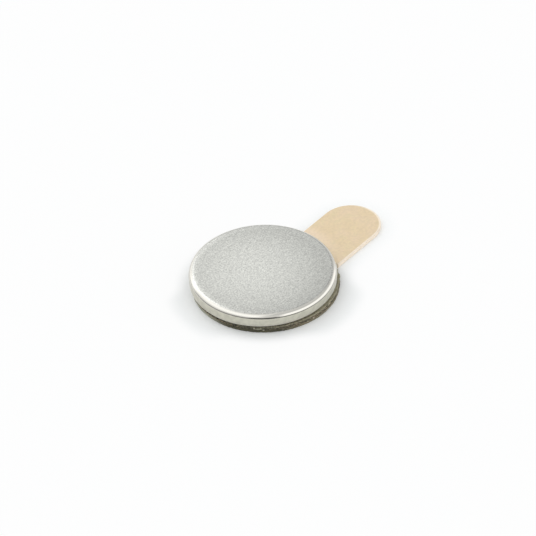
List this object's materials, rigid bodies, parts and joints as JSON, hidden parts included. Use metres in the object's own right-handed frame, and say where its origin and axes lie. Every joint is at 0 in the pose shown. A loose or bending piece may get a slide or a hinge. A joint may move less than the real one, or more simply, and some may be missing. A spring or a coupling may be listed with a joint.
{
  "type": "self-adhesive disc magnet",
  "caption": "Flat round magnet with a plated metal disc, a thin round adhesive pad under it and a paper release liner with a round-ended pull tab.",
  "frame": {"origin": "where the magnet's axis meets the liner's underside, which is the face the part rests on", "axes": "+X along the pull tab, +Z along the magnet's axis, out of the bare pole face"},
  "size_m": [0.0156, 0.01, 0.0016],
  "materials": {
    "nickel_plating": "satin bright nickel, finely grained pole faces and polished round edges",
    "tape": "dark matt tape with a torn, tacky rim",
    "liner_paper": "tan siliconised kraft paper with a pale cut edge"
  },
  "bodies": {
    "root": {"magnet_disc": "nickel_plating", "adhesive_pad": "tape", "release_liner": "liner_paper"}
  },
  "joints": []
}
